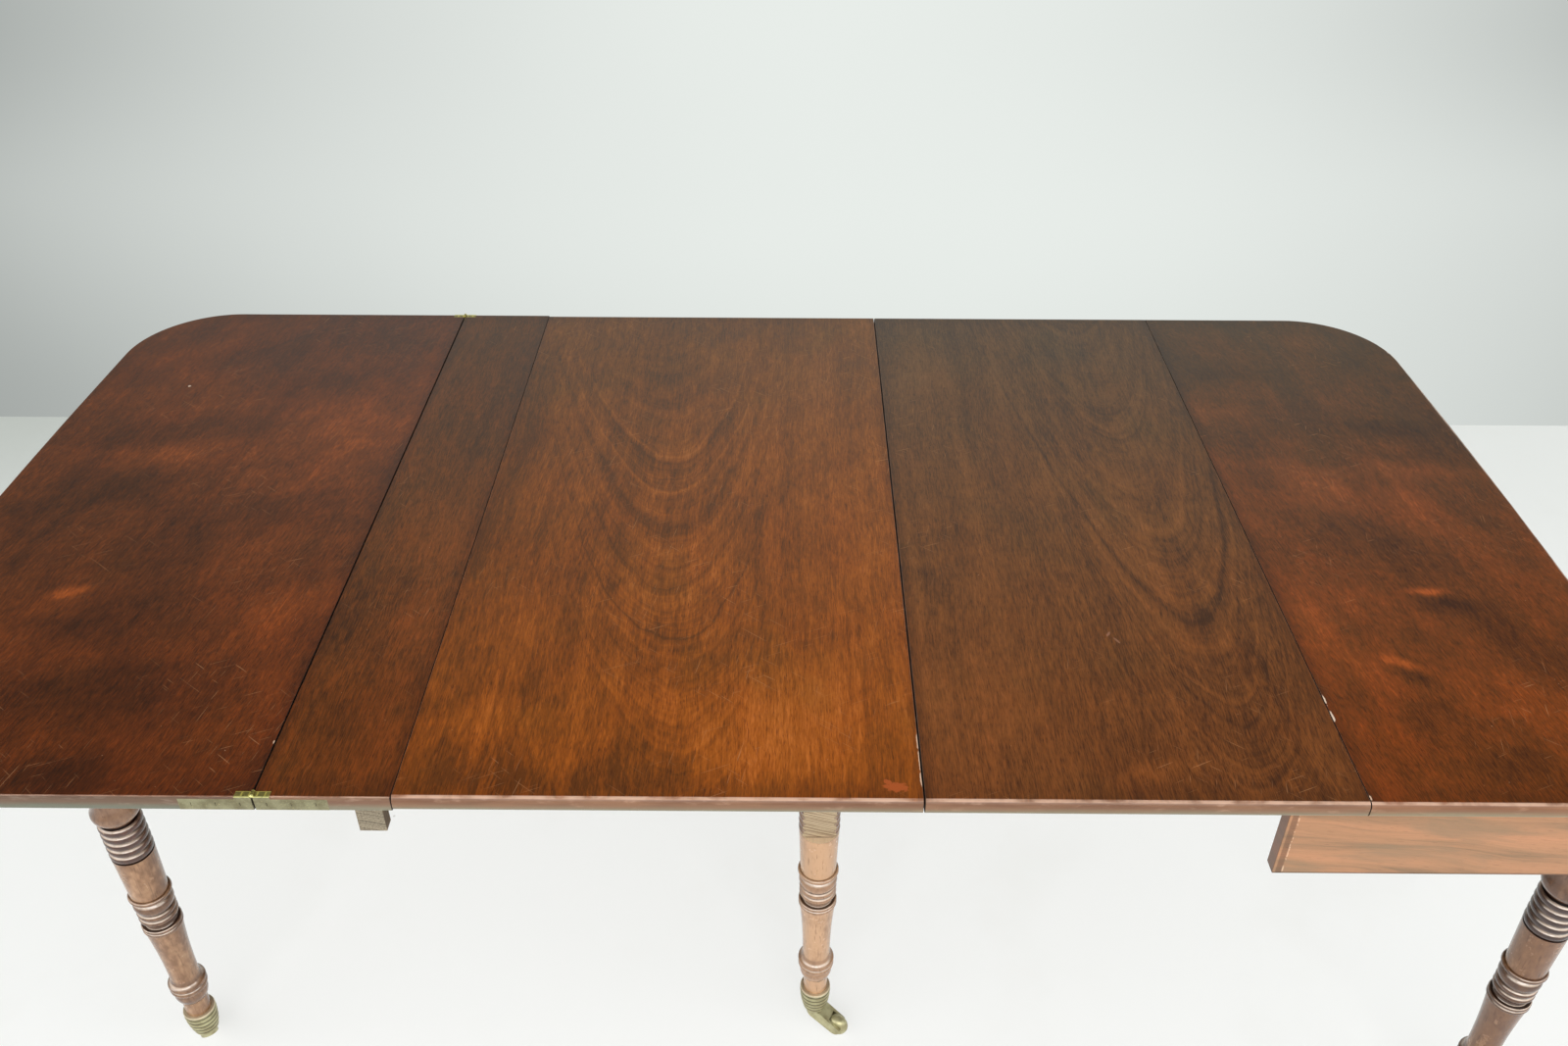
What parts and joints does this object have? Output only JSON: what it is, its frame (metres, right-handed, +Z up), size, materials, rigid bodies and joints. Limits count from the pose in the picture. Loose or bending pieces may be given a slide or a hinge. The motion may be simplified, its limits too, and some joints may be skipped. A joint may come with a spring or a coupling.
{
  "type": "concertina dining table",
  "caption": "Extending dining table: round-ended top with a folding flap and loose leaves, on a bellows-folding frame with ring-turned legs and brass casters.",
  "frame": {"origin": "on the floor, under the middle of the opened top", "axes": "+X along the opened table towards the fixed end, -Y the near side, +Z up"},
  "size_m": [2.2654, 1.2, 0.7328],
  "materials": {
    "top_mahogany": "old French polish with fine scratches",
    "apron_mahogany": "old polish",
    "leg_mahogany": "glossy old polish",
    "batten_wood": "rough sawn",
    "frame_wood": "planed, unpolished",
    "brass": "tarnished",
    "hinge_iron": "dull"
  },
  "bodies": {
    "end_frame": {"fixed_end_top": "top_mahogany", "end_apron": "apron_mahogany", "near_side_apron": "apron_mahogany", "far_side_apron": "apron_mahogany", "rear_top_rail": "frame_wood", "end_hinge_blocks": "frame_wood", "near_end_leg": "leg_mahogany", "far_end_leg": "leg_mahogany", "end_leg_caps": "brass", "end_frame_hinges": "hinge_iron"},
    "middle_frame": {"middle_cross_rail": "frame_wood", "near_middle_leg": "leg_mahogany", "far_middle_leg": "leg_mahogany", "middle_leg_caps": "brass", "middle_frame_hinges": "hinge_iron"},
    "outer_frame": {"outer_cross_rail": "frame_wood", "near_outer_leg": "leg_mahogany", "far_outer_leg": "leg_mahogany", "outer_leg_caps": "brass", "outer_frame_hinges": "hinge_iron"},
    "strip": {"hinge_strip_top": "top_mahogany", "strip_battens": "batten_wood", "card_hinge_strip_plates": "brass", "card_hinge_strip_screws": "brass"},
    "flap": {"flap_top": "top_mahogany", "card_hinge_flap_plates": "brass", "card_hinge_flap_screws": "brass"},
    "wide_leaf": {"wide_leaf_top": "top_mahogany", "wide_leaf_battens": "batten_wood"},
    "narrow_leaf": {"narrow_leaf_top": "top_mahogany", "narrow_leaf_battens": "batten_wood"},
    "near_rail_1": {"near_rail_1": "frame_wood", "near_rail_1_hinges": "hinge_iron"},
    "near_rail_2": {"near_rail_2": "frame_wood", "near_rail_2_hinges": "hinge_iron"},
    "near_rail_3": {"near_rail_3": "frame_wood", "near_rail_3_hinges": "hinge_iron"},
    "near_rail_4": {"near_rail_4": "frame_wood", "near_rail_4_hinges": "hinge_iron"},
    "far_rail_1": {"far_rail_1": "frame_wood", "far_rail_1_hinges": "hinge_iron"},
    "far_rail_2": {"far_rail_2": "frame_wood", "far_rail_2_hinges": "hinge_iron"},
    "far_rail_3": {"far_rail_3": "frame_wood", "far_rail_3_hinges": "hinge_iron"},
    "far_rail_4": {"far_rail_4": "frame_wood", "far_rail_4_hinges": "hinge_iron"},
    "near_end_caster": {"near_end_caster_horn": "brass"},
    "near_end_wheel": {"near_end_caster_wheel": "brass"},
    "far_end_caster": {"far_end_caster_horn": "brass"},
    "far_end_wheel": {"far_end_caster_wheel": "brass"},
    "near_outer_caster": {"near_outer_caster_horn": "brass"},
    "near_outer_wheel": {"near_outer_caster_wheel": "brass"},
    "far_outer_caster": {"far_outer_caster_horn": "brass"},
    "far_outer_wheel": {"far_outer_caster_wheel": "brass"},
    "near_middle_caster": {"near_middle_caster_horn": "brass"},
    "near_middle_wheel": {"near_middle_caster_wheel": "brass"},
    "far_middle_caster": {"far_middle_caster_horn": "brass"},
    "far_middle_wheel": {"far_middle_caster_wheel": "brass"}
  },
  "joints": [
    {"name": "frame_fold", "type": "hinge", "parent": "middle_frame", "child": "near_rail_2", "pos_m": [0.1232, -0.446, 0.6248], "axis": [0, 0, 1], "range_deg": [0, 82]},
    {"name": "near_rail_1_fold", "type": "hinge", "parent": "near_rail_2", "child": "near_rail_1", "pos_m": [0.56135, -0.466, 0.6248], "axis": [0, 0, -1], "range_deg": [0, 165]},
    {"name": "end_frame_turn", "type": "hinge", "parent": "near_rail_1", "child": "end_frame", "pos_m": [0.9995, -0.446, 0.6248], "axis": [0, 0, 1], "range_deg": [0, 82.5]},
    {"name": "near_rail_3_fold", "type": "hinge", "parent": "middle_frame", "child": "near_rail_3", "pos_m": [0.0688, -0.446, 0.6248], "axis": [0, 0, -1], "range_deg": [0, 82.5]},
    {"name": "near_rail_4_fold", "type": "hinge", "parent": "near_rail_3", "child": "near_rail_4", "pos_m": [-0.36935, -0.466, 0.6248], "axis": [0, 0, 1], "range_deg": [0, 165]},
    {"name": "outer_frame_turn", "type": "hinge", "parent": "near_rail_4", "child": "outer_frame", "pos_m": [-0.8075, -0.446, 0.6248], "axis": [0, 0, -1], "range_deg": [0, 82.5]},
    {"name": "far_rail_2_fold", "type": "hinge", "parent": "middle_frame", "child": "far_rail_2", "pos_m": [0.1232, 0.446, 0.6248], "axis": [0, 0, -1], "range_deg": [0, 82.5]},
    {"name": "far_rail_1_fold", "type": "hinge", "parent": "far_rail_2", "child": "far_rail_1", "pos_m": [0.56135, 0.466, 0.6248], "axis": [0, 0, 1], "range_deg": [0, 165]},
    {"name": "far_rail_3_fold", "type": "hinge", "parent": "middle_frame", "child": "far_rail_3", "pos_m": [0.0688, 0.446, 0.6248], "axis": [0, 0, 1], "range_deg": [0, 82.5]},
    {"name": "far_rail_4_fold", "type": "hinge", "parent": "far_rail_3", "child": "far_rail_4", "pos_m": [-0.36935, 0.466, 0.6248], "axis": [0, 0, -1], "range_deg": [0, 165]},
    {"name": "strip_slide", "type": "slide", "parent": "outer_frame", "child": "strip", "axis": [-1, 0, 0], "range_m": [0, 0.3211]},
    {"name": "wide_leaf_lift", "type": "slide", "parent": "middle_frame", "child": "wide_leaf", "axis": [0, 0, 1], "range_m": [0, 0.301]},
    {"name": "narrow_leaf_lift", "type": "slide", "parent": "middle_frame", "child": "narrow_leaf", "axis": [0, 0, 1], "range_m": [0, 0.301]},
    {"name": "flap_fold", "type": "hinge", "parent": "strip", "child": "flap", "pos_m": [-0.5547, 0, 0.7306], "axis": [0, 1, 0], "range_deg": [0, 180]},
    {"name": "near_end_swivel", "type": "hinge", "parent": "end_frame", "child": "near_end_caster", "pos_m": [1.0267, -0.544, 0.046], "axis": [0, 0, 1], "continuous": true},
    {"name": "near_end_wheel_spin", "type": "hinge", "parent": "near_end_caster", "child": "near_end_wheel", "pos_m": [0.99099, -0.531, 0.018], "axis": [-0.342, -0.9397, 0], "continuous": true},
    {"name": "far_end_swivel", "type": "hinge", "parent": "end_frame", "child": "far_end_caster", "pos_m": [1.0267, 0.544, 0.046], "axis": [0, 0, 1], "continuous": true},
    {"name": "far_end_wheel_spin", "type": "hinge", "parent": "far_end_caster", "child": "far_end_wheel", "pos_m": [0.99557, 0.5222, 0.018], "axis": [0.5736, -0.8192, 0], "continuous": true},
    {"name": "near_outer_swivel", "type": "hinge", "parent": "outer_frame", "child": "near_outer_caster", "pos_m": [-0.8347, -0.438, 0.046], "axis": [0, 0, 1], "continuous": true},
    {"name": "near_outer_wheel_spin", "type": "hinge", "parent": "near_outer_caster", "child": "near_outer_wheel", "pos_m": [-0.8581, -0.40806, 0.018], "axis": [-0.788, -0.6157, 0], "continuous": true},
    {"name": "far_outer_swivel", "type": "hinge", "parent": "outer_frame", "child": "far_outer_caster", "pos_m": [-0.8347, 0.438, 0.046], "axis": [0, 0, 1], "continuous": true},
    {"name": "far_outer_wheel_spin", "type": "hinge", "parent": "far_outer_caster", "child": "far_outer_wheel", "pos_m": [-0.8157, 0.40509, 0.018], "axis": [0.866, 0.5, 0], "continuous": true},
    {"name": "near_middle_swivel", "type": "hinge", "parent": "middle_frame", "child": "near_middle_caster", "pos_m": [0.096, -0.391, 0.046], "axis": [0, 0, 1], "continuous": true},
    {"name": "near_middle_wheel_spin", "type": "hinge", "parent": "near_middle_caster", "child": "near_middle_wheel", "pos_m": [0.13044, -0.40706, 0.018], "axis": [0.4226, 0.9063, 0], "continuous": true},
    {"name": "far_middle_swivel", "type": "hinge", "parent": "middle_frame", "child": "far_middle_caster", "pos_m": [0.096, 0.391, 0.046], "axis": [0, 0, 1], "continuous": true},
    {"name": "far_middle_wheel_spin", "type": "hinge", "parent": "far_middle_caster", "child": "far_middle_wheel", "pos_m": [0.12511, 0.41543, 0.018], "axis": [-0.6428, 0.766, 0], "continuous": true}
  ],
  "couplings": [
    {"joint": "near_rail_1_fold", "follows": "frame_fold", "ratio": 2},
    {"joint": "end_frame_turn", "follows": "frame_fold", "ratio": 1},
    {"joint": "near_rail_3_fold", "follows": "frame_fold", "ratio": 1},
    {"joint": "near_rail_4_fold", "follows": "frame_fold", "ratio": 2},
    {"joint": "outer_frame_turn", "follows": "frame_fold", "ratio": 1},
    {"joint": "far_rail_2_fold", "follows": "frame_fold", "ratio": 1},
    {"joint": "far_rail_1_fold", "follows": "frame_fold", "ratio": 2},
    {"joint": "far_rail_3_fold", "follows": "frame_fold", "ratio": 1},
    {"joint": "far_rail_4_fold", "follows": "frame_fold", "ratio": 2},
    {"joint": "strip_slide", "follows": "frame_fold", "m_per_rad": 0.22364},
    {"joint": "wide_leaf_lift", "follows": "frame_fold", "m_per_rad": 0.20962},
    {"joint": "narrow_leaf_lift", "follows": "frame_fold", "m_per_rad": 0.20962}
  ]
}
